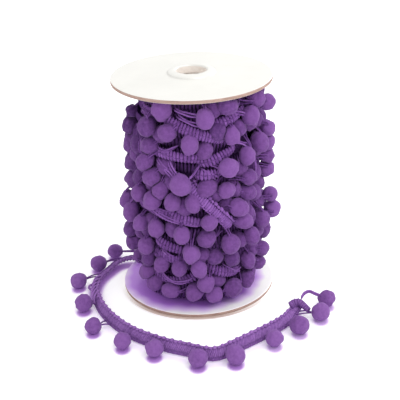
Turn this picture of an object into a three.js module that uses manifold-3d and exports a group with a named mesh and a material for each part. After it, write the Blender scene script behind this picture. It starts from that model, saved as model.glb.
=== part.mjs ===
// Pompom trim wound on a white card reel, with its loose end laid round the front of the reel.
// Millimetres, +Z up. The reel stands on its lower flange, and the loose end lies on the same surface.
// Angles are degrees round the reel from its front (-Y), positive towards +X.
import * as THREE from "three";
import { mergeVertices } from "three/addons/utils/BufferGeometryUtils.js";
import Module from "manifold-3d";

const wasm = await Module();
wasm.setup();

// The card reel
const FLANGE_DIAMETER = 90;
const FLANGE_THICKNESS = 2;
const REEL_HEIGHT = 129.4;
const BORE_DIAMETER = 17.2;
const TUBE_DIAMETER = 27;
const TUBE_WALL = 4.5;
const ROUND_SIDES = 48;
const GAP = 0.3;

// The trim: a flat braid with pompoms hung on thread loops from one edge
const POMPOM_DIAMETER = 10.4;
const POMPOM_RADIUS = POMPOM_DIAMETER / 2;
const POMPOM_SIDES = 6;
const STANDING_LATITUDES = [-32, 12, 52]; // rings of a pompom on the winding, from its inner side out
const LYING_LATITUDES = [-78, -25, 25, 65]; // rings of a pompom that rests on a surface, flat underneath
const FACET_ALLOWANCE = 1.07; // a faceted ball is this much larger, so that it fills as much as a round one
const PULLED_LONG = 1.08; // a pompom on the winding is pulled longer by its loop
const BRAID_WIDTH = 8;
const BRAID_THICKNESS = 1.5;
const EDGE_WIDTH = 1.6; // the edge of the braid that carries the thread loops
const EDGE_GAP = 0.45; // between that edge and the rest of the band, more than elsewhere as both twist
const LOOP_WIDTH = 1.6; // two threads side by side
const LOOP_THICKNESS = 0.9;

// The winding
const WINDING_BOTTOM = FLANGE_THICKNESS + GAP;
const WINDING_TOP = REEL_HEIGHT - FLANGE_THICKNESS - GAP;
const WINDING_RADIUS = 35; // surface of the packed turns, without the pompoms that stand on it
const WINDING_FOOT_RADIUS = 31; // the last turns at the foot are wound fewer deep
const FOOT_HEIGHT = 40; // below this height the winding draws in
const TURN_PITCH = 9.6;
const TURN_RELIEF = 1.7;
const TURN_SIDES = 16;
const POMPOM_STAND = 4; // a pompom's centre stands this far off the packed turns
const SQUEEZED_SPACING = 10; // two pompoms press together no closer than this
const SETTLING_PASSES = 40;

// Runs of pompoms that show on the front of the winding: where the first one lies, the step round
// and the rise from one to the next, and how many there are.
const POMPOM_RUNS = [
  { angle: 29, height: 123, round: 29, rise: -4, count: 3 },
  { angle: -22, height: 120, round: 31, rise: -5, count: 2 },
  { angle: -58, height: 113, round: 18, rise: -3, count: 5 },
  { angle: 32, height: 105, round: 23, rise: 7, count: 2 },
  { angle: -62, height: 106, round: -5, rise: -10, count: 3 },
  { angle: -39, height: 101, round: -1, rise: -9, count: 3 },
  { angle: 86, height: 98, round: 0, rise: -8.8, count: 4 },
  { angle: 64, height: 95, round: -18, rise: -4, count: 3 },
  { angle: 49, height: 79, round: -4, rise: -8.5, count: 4 },
  { angle: -11, height: 80, round: 18, rise: -3, count: 3 },
  { angle: -61, height: 77, round: 8, rise: -7, count: 2 },
  { angle: -33, height: 72, round: 15, rise: -2, count: 3 },
  { angle: -85, height: 57, round: 17, rise: -2.5, count: 4 },
  { angle: 88, height: 58, round: -3, rise: -11, count: 2 },
  { angle: 11, height: 57, round: -4, rise: -9, count: 2 },
  { angle: -13, height: 49, round: 8, rise: -12, count: 2 },
  { angle: 28, height: 42, round: 23, rise: 1, count: 3 },
  { angle: 14, height: 37, round: 16, rise: -5, count: 2 },
  { angle: -85, height: 34, round: 17, rise: 1, count: 3 },
  { angle: -51, height: 27, round: 17, rise: 0.5, count: 4 },
  { angle: 86, height: 30, round: 0, rise: -9.5, count: 3 },
  { angle: 50, height: 25, round: 3, rise: -14, count: 2 },
  { angle: -57, height: 17, round: 13, rise: -5, count: 2 },
  { angle: 6, height: 17, round: 20, rise: 0, count: 1 },
  { angle: -26, height: 11, round: 19, rise: -1, count: 4 },
];

// Runs of the braid that show between the pompoms on the front: both ends and the rise of the middle
// above the straight line between them.
const BRAID_RUNS = [
  { from: -36, fromHeight: 121, to: 30, toHeight: 104, bow: -1 },
  { from: -40, fromHeight: 97, to: 8, toHeight: 93, bow: 1 },
  { from: -8, fromHeight: 77, to: 34, toHeight: 52, bow: 2 },
  { from: -62, fromHeight: 62, to: 8, toHeight: 51, bow: 3 },
  { from: -40, fromHeight: 44, to: -8, toHeight: 37, bow: 0 },
  { from: -46, fromHeight: 33, to: -6, toHeight: 31, bow: 1 },
  { from: -50, fromHeight: 21, to: 0, toHeight: 22, bow: -4 },
  { from: 5, fromHeight: 27, to: 54, toHeight: 21, bow: -1 },
];
const BRAID_RUN_STEPS = 3;
const BRAID_RUN_LIFT = 1.9; // a run's outer face stands this far off the packed turns
const BRAID_RUN_DIVE = -1.5; // its ends go under the next turns

// The loose end's middle line from the winding to the cut end, and how the braid is turned about it:
// 270 lies flat with its pompom edge outwards, and 360 stands on that edge.
const TAIL = [
  { x: -22, y: 25.5, z: 5.6, roll: 250 },
  { x: -30, y: 23, z: 5.2, roll: 255 },
  { x: -37.5, y: 21.8, z: 4.4, roll: 262 },
  { x: -44.5, y: 22, z: 3.6, roll: 270 },
  { x: -50.5, y: 18.6, z: 3, roll: 278 },
  { x: -55, y: 11.5, z: 2.7, roll: 284 },
  { x: -58.8, y: 4.5, z: 2.6, roll: 286 },
  { x: -61.2, y: -3, z: 2.8, roll: 290 },
  { x: -62, y: -11, z: 3.1, roll: 300 },
  { x: -61.3, y: -19, z: 3.6, roll: 316 },
  { x: -59.3, y: -28, z: 4, roll: 328 },
  { x: -56.3, y: -37, z: 4.1, roll: 334 },
  { x: -51.8, y: -46, z: 4.1, roll: 335 },
  { x: -45.5, y: -55.5, z: 4.1, roll: 335 },
  { x: -37.5, y: -64.5, z: 4.1, roll: 335 },
  { x: -27.5, y: -72.2, z: 4.1, roll: 335 },
  { x: -17, y: -78.4, z: 4.1, roll: 335 },
  { x: -6.5, y: -83, z: 4.1, roll: 335 },
  { x: 3, y: -87.2, z: 4.1, roll: 335 },
  { x: 10, y: -87, z: 4.1, roll: 335 },
  { x: 18.5, y: -81.2, z: 4.1, roll: 335 },
  { x: 29.5, y: -73, z: 4.1, roll: 334 },
  { x: 40.5, y: -64, z: 3.9, roll: 328 },
  { x: 48.5, y: -55, z: 3.3, roll: 310 },
  { x: 53, y: -46, z: 2.6, roll: 292 },
  { x: 57, y: -38.5, z: 2.4, roll: 285 },
];
const TAIL_STEPS_PER_ROW = 4;
const SHORT_STEP = 0.1; // in rows
const ROWS_IN_WINDING = 4; // over these rows it runs among the last turns, which leave room for it

// Pompoms of the loose end: where each rests, and how far along the braid, in rows of the table
// above, its thread loop is rooted.
const TAIL_POMPOMS = [
  { x: -53, y: 30.5, root: 2.8 },
  { x: -62.6, y: 14.6, root: 4.4 },
  { x: -72.2, y: -6.4, root: 6.9 },
  { x: -67.4, y: -32.4, root: 10 },
  { x: -59, y: -58, root: 12.3 },
  { x: -42, y: -74, root: 13.7 },
  { x: -24.5, y: -82.5, root: 15.4 },
  { x: -1.5, y: -92.5, root: 17.4 },
  { x: 18.2, y: -91.2, root: 19.3 },
  { x: 39.5, y: -76.5, root: 21.7 },
  { x: 54.5, y: -65, root: 22.8 },
  { x: 67.5, y: -51.5, root: 24 },
  { x: 73.5, y: -40, root: 24.9 },
];

const up = new THREE.Vector3(0, 0, 1);
const radians = THREE.MathUtils.degToRad;

// A point at an angle round the reel, a distance from its axis and a height
function around(angle, radius, height) {
  const a = radians(angle);
  return new THREE.Vector3(radius * Math.sin(a), -radius * Math.cos(a), height);
}

// A closed geometry as a solid for joining and cutting
function solidOf(geometry) {
  const bare = geometry.clone();
  bare.deleteAttribute("normal");
  bare.deleteAttribute("uv");
  const merged = mergeVertices(bare, 1e-4);
  const corners = merged.index.array;
  const kept = [];
  for (let i = 0; i < corners.length; i += 3) {
    const [a, b, c] = corners.slice(i, i + 3);
    if (a !== b && b !== c && a !== c) kept.push(a, b, c);
  }
  return new wasm.Manifold(
    new wasm.Mesh({
      numProp: 3,
      vertProperties: merged.attributes.position.array,
      triVerts: new Uint32Array(kept),
    }),
  );
}

function geometryOf(solid) {
  const mesh = solid.getMesh();
  const geometry = new THREE.BufferGeometry();
  geometry.setAttribute("position", new THREE.BufferAttribute(mesh.vertProperties, 3));
  geometry.setIndex(new THREE.BufferAttribute(mesh.triVerts, 1));
  geometry.computeVertexNormals();
  return geometry;
}

// A grid of points, rows of equal length, as a closed tube: each row is a ring round it.
function ringGeometry(rings, closedLengthways) {
  const sides = rings[0].length;
  const index = [];
  const rows = closedLengthways ? rings.length : rings.length - 1;
  for (let i = 0; i < rows; i++) {
    const next = (i + 1) % rings.length;
    for (let j = 0; j < sides; j++) {
      const k = (j + 1) % sides;
      const [a, b, c, d] = [i * sides + j, i * sides + k, next * sides + k, next * sides + j];
      index.push(a, b, c, a, c, d);
    }
  }
  if (!closedLengthways) {
    const last = (rings.length - 1) * sides;
    for (let j = 1; j < sides - 1; j++) {
      index.push(0, j + 1, j);
      index.push(last, last + j, last + j + 1);
    }
  }
  const geometry = new THREE.BufferGeometry();
  geometry.setAttribute(
    "position",
    new THREE.Float32BufferAttribute(rings.flat().flatMap((p) => p.toArray()), 3),
  );
  geometry.setIndex(index);
  return geometry;
}

function washer(outer, inner, bottom, top) {
  const profile = [
    [inner, bottom],
    [outer, bottom],
    [outer, top],
    [inner, top],
    [inner, bottom],
  ].map(([x, y]) => new THREE.Vector2(x, y));
  return new THREE.LatheGeometry(profile, ROUND_SIDES).rotateX(Math.PI / 2);
}

// A ball of rings at the given latitudes, the poles joined to them by a fan each
function pompomGeometry(latitudes) {
  const radius = POMPOM_RADIUS * FACET_ALLOWANCE;
  const profile = [new THREE.Vector2(0, -POMPOM_RADIUS)];
  for (const latitude of latitudes) {
    const a = radians(latitude);
    const height = THREE.MathUtils.clamp(radius * Math.sin(a), -POMPOM_RADIUS, POMPOM_RADIUS);
    profile.push(new THREE.Vector2(radius * Math.cos(a), height));
  }
  profile.push(new THREE.Vector2(0, POMPOM_RADIUS));
  return new THREE.LatheGeometry(profile, POMPOM_SIDES).rotateX(Math.PI / 2);
}

function windingRadius(height) {
  const foot = THREE.MathUtils.clamp((FOOT_HEIGHT - height) / FOOT_HEIGHT, 0, 1);
  return WINDING_RADIUS - (WINDING_RADIUS - WINDING_FOOT_RADIUS) * foot;
}

// The packed turns: a sleeve round the tube, with a low ridge along each turn
function packedTurns() {
  const rows = Math.round((2 * (WINDING_TOP - WINDING_BOTTOM)) / TURN_PITCH);
  const innerRadius = (TUBE_DIAMETER / 2 + GAP) / Math.cos(Math.PI / TURN_SIDES);
  const rings = [];
  for (let j = 0; j < TURN_SIDES; j++) {
    const angle = (360 * j) / TURN_SIDES;
    const ring = [around(angle, innerRadius, WINDING_BOTTOM)];
    for (let i = 0; i <= rows; i++) {
      const height = WINDING_BOTTOM + ((WINDING_TOP - WINDING_BOTTOM) * i) / rows;
      const turn = Math.cos(2 * Math.PI * (height / TURN_PITCH - angle / 360));
      ring.push(around(angle, windingRadius(height) + TURN_RELIEF * turn, height));
    }
    ring.push(around(angle, innerRadius, WINDING_TOP));
    rings.push(ring);
  }
  return ringGeometry(rings.reverse(), true);
}

// Every table row counts twice: as it is on the front, and turned half round and upside down on the
// back, so that both sides are wound as unevenly.
function bothSides(angle, height) {
  return [
    { angle, height },
    { angle: angle + 180, height: REEL_HEIGHT - height },
  ];
}

// Centres of the pompoms on the winding, pressed apart where runs meet
function windingPompoms() {
  const centres = [];
  for (const run of POMPOM_RUNS) {
    for (let i = 0; i < run.count; i++) {
      for (const spot of bothSides(run.angle + i * run.round, run.height + i * run.rise)) {
        const radius = windingRadius(spot.height) + POMPOM_STAND;
        centres.push(around(spot.angle, radius, spot.height));
      }
    }
  }
  const clear = POMPOM_RADIUS * FACET_ALLOWANCE * PULLED_LONG + GAP;
  for (let pass = 0; pass < SETTLING_PASSES; pass++) {
    centres.forEach((a, i) => {
      for (const b of centres.slice(i + 1)) {
        const between = new THREE.Vector3().subVectors(b, a);
        const short = SQUEEZED_SPACING - between.length();
        if (short <= 0) continue;
        between.setLength(short / 2);
        a.sub(between);
        b.add(between);
      }
    });
    for (const c of centres) {
      c.z = THREE.MathUtils.clamp(c.z, WINDING_BOTTOM + clear, WINDING_TOP - clear);
      const radius = Math.hypot(c.x, c.y);
      const least = windingRadius(c.z) + POMPOM_STAND;
      const wanted = THREE.MathUtils.clamp(radius, least, least + POMPOM_RADIUS);
      c.x *= wanted / radius;
      c.y *= wanted / radius;
    }
  }
  return centres;
}

// A bar through stations, each with its middle, its direction across and the direction that its
// face looks in. The section's corners are given along those two.
function bar(stations, corners) {
  const rings = stations.map(({ middle, across, face }) =>
    corners.map(([i, j]) => middle.clone().addScaledVector(across, i).addScaledVector(face, j)),
  );
  return ringGeometry(rings, false);
}

// A bar of rectangular section, its middle moved across by the offset
function strip(stations, width, thickness, offset = 0) {
  const low = offset - width / 2;
  const high = offset + width / 2;
  const half = thickness / 2;
  return bar(stations, [
    [low, -half],
    [high, -half],
    [high, half],
    [low, half],
  ]);
}

// One braid run on the winding, turned to the back for side 1: its outer face is as wide as the braid,
// and both its edges slope into the packed turns.
function braidRun(run, side) {
  const stations = [];
  for (let i = 0; i <= BRAID_RUN_STEPS; i++) {
    const t = i / BRAID_RUN_STEPS;
    const arch = 4 * t * (1 - t);
    const height = run.fromHeight + (run.toHeight - run.fromHeight) * t + run.bow * arch;
    const spot = bothSides(run.from + (run.to - run.from) * t, height)[side];
    const lift = i === 0 || i === BRAID_RUN_STEPS ? BRAID_RUN_DIVE : BRAID_RUN_LIFT;
    stations.push({
      middle: around(spot.angle, windingRadius(spot.height) + lift, spot.height),
      across: up,
      face: around(spot.angle, 1, 0),
    });
  }
  const half = BRAID_WIDTH / 2;
  return bar(stations, [
    [0, -half],
    [half, 0],
    [-half, 0],
  ]);
}

// A smooth curve through one column of a table, at a place given in rows
function along(table, column, place) {
  const i = THREE.MathUtils.clamp(Math.floor(place), 0, table.length - 2);
  const t = place - i;
  const at = (k) => table[THREE.MathUtils.clamp(k, 0, table.length - 1)][column];
  const [a, b, c, d] = [at(i - 1), at(i), at(i + 1), at(i + 2)];
  const [slopeB, slopeC] = [(c - a) / 2, (d - b) / 2];
  const t2 = t * t;
  const t3 = t2 * t;
  return (
    (2 * t3 - 3 * t2 + 1) * b +
    (t3 - 2 * t2 + t) * slopeB +
    (3 * t2 - 2 * t3) * c +
    (t3 - t2) * slopeC
  );
}

// The loose end at a place along its table
function tailStation(place) {
  const point = (p) =>
    new THREE.Vector3(along(TAIL, "x", p), along(TAIL, "y", p), along(TAIL, "z", p));
  const tangent = point(place + SHORT_STEP).sub(point(place - SHORT_STEP)).normalize();
  const outwards = new THREE.Vector3().crossVectors(tangent, up).normalize();
  const upright = new THREE.Vector3().crossVectors(outwards, tangent);
  const roll = radians(along(TAIL, "roll", place));
  const across = upright
    .clone()
    .multiplyScalar(Math.cos(roll))
    .addScaledVector(outwards, Math.sin(roll));
  return {
    middle: point(place),
    across,
    face: new THREE.Vector3().crossVectors(tangent, across),
  };
}

function tailStations() {
  const count = (TAIL.length - 1) * TAIL_STEPS_PER_ROW;
  return Array.from({ length: count + 1 }, (_, i) => tailStation(i / TAIL_STEPS_PER_ROW));
}

// The braid without its thread edge, and the thread edge, side by side across the same width
const bandWidth = BRAID_WIDTH - EDGE_WIDTH - EDGE_GAP;
const bandOffset = (BRAID_WIDTH - bandWidth) / 2;
const edgeOffset = -(BRAID_WIDTH - EDGE_WIDTH) / 2;

// Two threads side by side from the braid's edge to the middle of a pompom of the loose end, with
// room to spare round them if asked
function threadLoop({ x, y, root }, spare = 0) {
  const station = tailStation(root);
  const from = station.middle.clone().addScaledVector(station.across, edgeOffset);
  const to = new THREE.Vector3(x, y, POMPOM_RADIUS);
  const direction = new THREE.Vector3().subVectors(to, from).normalize();
  const across = new THREE.Vector3().crossVectors(direction, up).normalize();
  const face = new THREE.Vector3().crossVectors(direction, across);
  const ends = [from, to].map((middle) => ({ middle, across, face }));
  return strip(ends, LOOP_WIDTH + 2 * spare, LOOP_THICKNESS + 2 * spare);
}

// Where the loose end and its threads run among the last turns, with a gap all round
function roomForTail() {
  const first = tailStation(0);
  const forwards = new THREE.Vector3().crossVectors(first.across, first.face);
  const before = first.middle.clone().addScaledVector(forwards, -2 * EDGE_GAP);
  const leaving = [{ ...first, middle: before }];
  for (let i = 0; i <= ROWS_IN_WINDING * TAIL_STEPS_PER_ROW; i++) {
    leaving.push(tailStation(i / TAIL_STEPS_PER_ROW));
  }
  const slot = strip(leaving, BRAID_WIDTH + 2 * EDGE_GAP, BRAID_THICKNESS + 2 * EDGE_GAP);
  const loops = TAIL_POMPOMS.map((pompom) => solidOf(threadLoop(pompom, EDGE_GAP)));
  return wasm.Manifold.union([solidOf(slot), ...loops]);
}

function woundTrim() {
  const pieces = [solidOf(packedTurns())];
  for (const run of BRAID_RUNS) {
    for (const side of [0, 1]) {
      pieces.push(solidOf(braidRun(run, side)));
    }
  }
  const outwards = new THREE.Vector3();
  for (const centre of windingPompoms()) {
    outwards.set(centre.x, centre.y, 0).normalize();
    const turn = new THREE.Quaternion().setFromUnitVectors(up, outwards);
    const ball = pompomGeometry(STANDING_LATITUDES).applyQuaternion(turn).scale(1, 1, PULLED_LONG);
    pieces.push(solidOf(ball.translate(centre.x, centre.y, centre.z)));
  }
  const wound = wasm.Manifold.union(pieces);
  const bodies = wound.subtract(roomForTail()).decompose();
  // Spaces sealed between pompoms come out as bodies of their own, turned inside out.
  return geometryOf(bodies.sort((a, b) => b.volume() - a.volume())[0]);
}

function tailPompoms(stations) {
  const pieces = [solidOf(strip(stations, EDGE_WIDTH, BRAID_THICKNESS, edgeOffset))];
  for (const pompom of TAIL_POMPOMS) {
    const ball = pompomGeometry(LYING_LATITUDES).translate(pompom.x, pompom.y, POMPOM_RADIUS);
    pieces.push(solidOf(ball), solidOf(threadLoop(pompom)));
  }
  return geometryOf(wasm.Manifold.union(pieces));
}

const card = new THREE.MeshStandardMaterial({ color: 0xf6f4ee, roughness: 0.35 });
const tubeCard = new THREE.MeshStandardMaterial({ color: 0xd9cec4, roughness: 0.8 });
const yarn = new THREE.MeshStandardMaterial({ color: 0x7a3fa0, roughness: 0.95 });
const braid = new THREE.MeshStandardMaterial({ color: 0x6c3592, roughness: 0.85 });

const part = new THREE.Group();

function add(name, geometry, material) {
  const mesh = new THREE.Mesh(geometry, material);
  mesh.name = name;
  part.add(mesh);
}

const flangeRadius = FLANGE_DIAMETER / 2;
const boreRadius = BORE_DIAMETER / 2;
const upperFlange = REEL_HEIGHT - FLANGE_THICKNESS;
const tubeRadius = TUBE_DIAMETER / 2;
const stations = tailStations();

add("flange_bottom", washer(flangeRadius, boreRadius, 0, FLANGE_THICKNESS), card);
add("flange_top", washer(flangeRadius, boreRadius, upperFlange, REEL_HEIGHT), card);
add("core_tube", washer(tubeRadius, tubeRadius - TUBE_WALL, WINDING_BOTTOM, WINDING_TOP), tubeCard);
add("wound_trim", woundTrim(), yarn);
add("tail_braid", strip(stations, bandWidth, BRAID_THICKNESS, bandOffset), braid);
add("tail_pompoms", tailPompoms(stations), yarn);

// The origin is the middle of the part's footprint, on the surface that it stands on.
const footprint = new THREE.Box3().setFromObject(part).getCenter(new THREE.Vector3());
part.position.set(-footprint.x, -footprint.y, 0);

export default part;
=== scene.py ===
import math

import bmesh
import bpy
import numpy as np
from mathutils import Matrix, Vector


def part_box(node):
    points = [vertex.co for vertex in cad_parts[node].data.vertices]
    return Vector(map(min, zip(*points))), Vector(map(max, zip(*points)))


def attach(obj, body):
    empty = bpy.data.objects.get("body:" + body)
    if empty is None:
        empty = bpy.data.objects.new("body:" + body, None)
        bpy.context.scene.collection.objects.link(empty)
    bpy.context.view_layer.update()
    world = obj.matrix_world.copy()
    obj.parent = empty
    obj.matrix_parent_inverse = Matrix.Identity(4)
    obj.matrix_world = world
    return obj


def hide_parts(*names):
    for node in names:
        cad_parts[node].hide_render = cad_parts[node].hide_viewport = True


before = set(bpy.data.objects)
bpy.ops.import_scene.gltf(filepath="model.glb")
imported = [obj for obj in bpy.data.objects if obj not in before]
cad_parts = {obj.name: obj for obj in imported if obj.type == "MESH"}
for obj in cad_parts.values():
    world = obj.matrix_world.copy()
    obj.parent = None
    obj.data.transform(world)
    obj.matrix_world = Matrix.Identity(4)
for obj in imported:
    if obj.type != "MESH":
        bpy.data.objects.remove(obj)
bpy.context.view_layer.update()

# Lengths are millimetres from the reel's axis, heights from the surface that it stands on, and
# angles are degrees round the reel from its front (-Y), positive towards +X.
MM = 0.001
foot_low, foot_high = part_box("flange_bottom")
_, cap_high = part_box("flange_top")
tube_low, tube_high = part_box("core_tube")
AXIS = np.array([(foot_low.x + foot_high.x) / 2, (foot_low.y + foot_high.y) / 2, 0.0]) / MM
FLANGE_RADIUS = (foot_high.x - foot_low.x) / 2 / MM
FLANGE_THICK = foot_high.z / MM
REEL_HEIGHT = cap_high.z / MM
TUBE_RADIUS = (tube_high.x - tube_low.x) / 2 / MM
TUBE_BOTTOM = tube_low.z / MM
TUBE_TOP = tube_high.z / MM
BORE_RADIUS = 8.6
TUBE_BORE_RADIUS = 9.0

random = np.random.default_rng(7)
draw = random.uniform


def to_metres(points):
    return (np.asarray(points, float) + AXIS) * MM


def new_object(name, data):
    made = bpy.data.objects.new(name, data)
    bpy.context.collection.objects.link(made)
    return made


# Camera
CAMERA_PLACE = (2.4, -500.85, 285.03)
CAMERA_PITCH = 24.90
CAMERA_ROLL = -1.93
CAMERA_LENS = 84.51

camera = new_object("camera", bpy.data.cameras.new("camera"))
camera.data.lens = CAMERA_LENS
camera.data.sensor_width = 36
camera.data.clip_end = 20
camera.matrix_world = (
    Matrix.Translation(to_metres([CAMERA_PLACE])[0])
    @ Matrix.Rotation(math.radians(90 - CAMERA_PITCH), 4, "X")
    @ Matrix.Rotation(math.radians(CAMERA_ROLL), 4, "Z")
)
bpy.context.scene.camera = camera


# Materials
def linear(red, green, blue):
    """A colour given in the usual 0 to 255 values, as linear light."""
    shares = np.array([red, green, blue]) / 255
    low = shares / 12.92
    high = ((shares + 0.055) / 1.055) ** 2.4
    return (*np.where(shares <= 0.04045, low, high), 1.0)


class Look:
    """A Principled material with nodes added one by one."""

    def __init__(self, name, **sockets):
        self.material = bpy.data.materials.new(name)
        self.material.use_nodes = True
        self.tree = self.material.node_tree
        self.shader = self.tree.nodes["Principled BSDF"]
        for socket, value in sockets.items():
            self.shader.inputs[socket.replace("_", " ")].default_value = value
        self.place = self.node("ShaderNodeTexCoord").outputs["Object"]

    def node(self, kind, links=(), **settings):
        made = self.tree.nodes.new(kind)
        for key, value in settings.items():
            if key in made.inputs:
                made.inputs[key].default_value = value
            elif hasattr(made, key):
                setattr(made, key, value)
            else:
                made.inputs[key.replace("_", " ")].default_value = value
        for socket, source in dict(links).items():
            self.tree.links.new(source, made.inputs[socket])
        return made

    def noise(self, scale, detail=3.0, roughness=0.6, place=None):
        settings = {"Scale": scale, "Detail": detail, "Roughness": roughness}
        made = self.node("ShaderNodeTexNoise", {"Vector": place or self.place}, **settings)
        return made.outputs["Fac"]

    def stretched(self, x, y, z):
        made = self.node("ShaderNodeMapping", {"Vector": self.place})
        made.inputs["Scale"].default_value = (x, y, z)
        return made.outputs["Vector"]

    def ramp(self, value, stops):
        made = self.node("ShaderNodeValToRGB", {"Fac": value})
        elements = made.color_ramp.elements
        while len(elements) < len(stops):
            elements.new(0.5)
        for element, (position, colour) in zip(elements, stops):
            element.position = position
            element.color = colour
        return made.outputs["Color"]

    def mix(self, share, first, second, blend="MIX"):
        made = self.node("ShaderNodeMix", data_type="RGBA", blend_type=blend)
        for socket, value in ((0, share), (6, first), (7, second)):
            if hasattr(value, "links"):
                self.tree.links.new(value, made.inputs[socket])
            else:
                made.inputs[socket].default_value = value
        return made.outputs[2]

    def attribute(self, name):
        return self.node("ShaderNodeAttribute", attribute_name=name).outputs["Fac"]

    def colour(self, source):
        self.tree.links.new(source, self.shader.inputs["Base Color"])

    def bump(self, source, strength, distance):
        links = {"Height": source}
        if self.shader.inputs["Normal"].links:
            links["Normal"] = self.shader.inputs["Normal"].links[0].from_socket
        made = self.node("ShaderNodeBump", links, Strength=strength, Distance=distance)
        self.tree.links.new(made.outputs["Normal"], self.shader.inputs["Normal"])


def yarn_look(name, shades, fibres, depth, sheen):
    """Purple fibre, its shade set by the piece's tone and a fine mottling; the tone holds random
    differences and, on some pieces, painted light and shade.
    """
    sheens = {"Sheen_Weight": sheen, "Sheen_Roughness": 0.45, "Sheen_Tint": (0.86, 0.74, 0.95, 1)}
    look = Look(name, Roughness=0.9, Specular_IOR_Level=0.18, **sheens)
    mottle = look.noise(fibres / 3, detail=4.0, roughness=0.65)
    sum_of = look.node("ShaderNodeMath", {0: mottle, 1: look.attribute("tone")}, operation="ADD")
    shade = look.node("ShaderNodeMath", {0: sum_of.outputs[0]}, operation="MULTIPLY")
    shade.inputs[1].default_value = 0.5
    stops = [(at, linear(*colour)) for at, colour in zip((0.25, 0.5, 0.75), shades)]
    look.colour(look.ramp(shade.outputs[0], stops))
    look.bump(look.noise(fibres, roughness=0.7), depth, distance=0.0004)
    return look.material


# Shades of the yarns from deep to light. SHADED_GIMP is the gimp darkened with painted shade for the
# deep turns and the core, and the last two are felt and gimp lightened with painted light for the loose
# end, which lies in the open.
FELT = [(80, 47, 104), (117, 74, 142), (132, 87, 159)]
GIMP = [(66, 34, 90), (112, 69, 139), (150, 102, 180)]
SHADED_GIMP = [(56, 29, 77), (92, 55, 117), (112, 71, 138)]
PAINTED_LIT_FELT = [(86, 52, 111), (124, 81, 150), (142, 98, 169)]
PAINTED_LIT_GIMP = [(76, 43, 102), (122, 82, 149), (158, 113, 185)]
FELTED = dict(fibres=1500, depth=0.55, sheen=0.12)
SPUN = dict(fibres=2600, depth=0.35)
felt = yarn_look("felt", FELT, **FELTED)
gimp = yarn_look("gimp", GIMP, sheen=0.08, **SPUN)
shaded_gimp = yarn_look("shaded_gimp", SHADED_GIMP, sheen=0.05, **SPUN)
painted_lit_felt = yarn_look("painted_lit_felt", PAINTED_LIT_FELT, **FELTED)
painted_lit_gimp = yarn_look("painted_lit_gimp", PAINTED_LIT_GIMP, sheen=0.08, **SPUN)

BLACK = (0, 0, 0, 1)
WHITE = (1, 1, 1, 1)
# A tone turns a white surface pale violet first, and then violet: painted violet reflection, on the
# lower card and on the floor.
TO_PALE = [(0.0, BLACK), (0.4, WHITE)]
TO_VIOLET = [(0.4, BLACK), (1.0, WHITE)]
CARD_PAINTED_PALE = linear(232, 204, 251)
CARD_PAINTED_VIOLET = linear(198, 132, 242)


def card_look(name, dark, light):
    """Smooth coated card, with painted violet reflection where its tone says so."""
    look = Look(name, Roughness=0.34, Metallic=0.1, Specular_IOR_Level=0.8)
    white = look.ramp(look.noise(60, detail=4.0), [(0.3, dark), (0.7, light)])
    pale = look.mix(look.ramp(look.attribute("tone"), TO_PALE), white, CARD_PAINTED_PALE)
    look.colour(look.mix(look.ramp(look.attribute("tone"), TO_VIOLET), pale, CARD_PAINTED_VIOLET))
    look.bump(look.noise(900, detail=4.0), strength=0.08, distance=0.0002)
    return look.material


# The same card, painted lighter on the lower flange and darker on the upper one to even out the light
# that falls on each.
card = card_look("card", linear(249, 248, 246), linear(254, 253, 252))
upper_card = card_look("upper_card", linear(225, 224, 219), linear(230, 229, 224))

edge_look = Look("card_edge", Roughness=0.85)
layers = edge_look.noise(1, roughness=0.7, place=edge_look.stretched(160, 160, 2600))
plies = [(0.3, linear(150, 118, 108)), (0.7, linear(196, 168, 156))]
edge_look.colour(edge_look.ramp(layers, plies))
edge_look.bump(layers, strength=0.5, distance=0.0003)
card_edge = edge_look.material

tube_look = Look("tube_card", Roughness=0.8)
fibres = tube_look.noise(700, detail=5.0, roughness=0.7)
greys = [(0.3, linear(246, 236, 228)), (0.7, linear(252, 246, 240))]
tube_look.colour(tube_look.ramp(fibres, greys))
tube_look.bump(fibres, strength=0.3, distance=0.0003)
tube_card = tube_look.material


# Mesh building
def paint(mesh, name, values):
    """Gives each point of a mesh a number that its look reads."""
    made = mesh.attributes.new(name, "FLOAT", "POINT")
    made.data.foreach_set("value", values.astype(np.float32))


class Shapes:
    """Gathers many small shapes into one mesh."""

    def __init__(self):
        self.points = []
        self.faces = []
        self.tones = []
        self.materials = []
        self.count = 0

    def add(self, points, faces, tone=0.5, material=0):
        points = np.asarray(points, float).reshape(-1, 3)
        self.points.append(points)
        self.tones.append(np.broadcast_to(tone, len(points)))
        for group in faces if isinstance(faces, tuple) else (faces,):
            self.faces.append(np.asarray(group) + self.count)
            self.materials.append(np.full(len(group), material))
        self.count += len(points)

    def make(self, name, looks, slot, *nodes):
        mesh = bpy.data.meshes.new(name)
        mesh.vertices.add(self.count)
        mesh.vertices.foreach_set("co", to_metres(np.concatenate(self.points)).ravel())
        corners = np.concatenate([f.ravel() for f in self.faces])
        sizes = np.concatenate([np.full(len(f), f.shape[1]) for f in self.faces])
        mesh.loops.add(len(corners))
        mesh.loops.foreach_set("vertex_index", corners.astype(np.int32))
        mesh.polygons.add(len(sizes))
        starts = np.concatenate([[0], np.cumsum(sizes)[:-1]])
        mesh.polygons.foreach_set("loop_start", starts.astype(np.int32))
        mesh.polygons.foreach_set("material_index", np.concatenate(self.materials).astype(np.int32))
        mesh.polygons.foreach_set("use_smooth", np.ones(len(sizes), bool))
        paint(mesh, "tone", np.concatenate(self.tones))
        mesh.update(calc_edges=True)
        mesh.validate()
        for look in looks:
            mesh.materials.append(look)
        made = new_object(name, mesh)
        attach(made, "root")
        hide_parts(*nodes)
        return made


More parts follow.
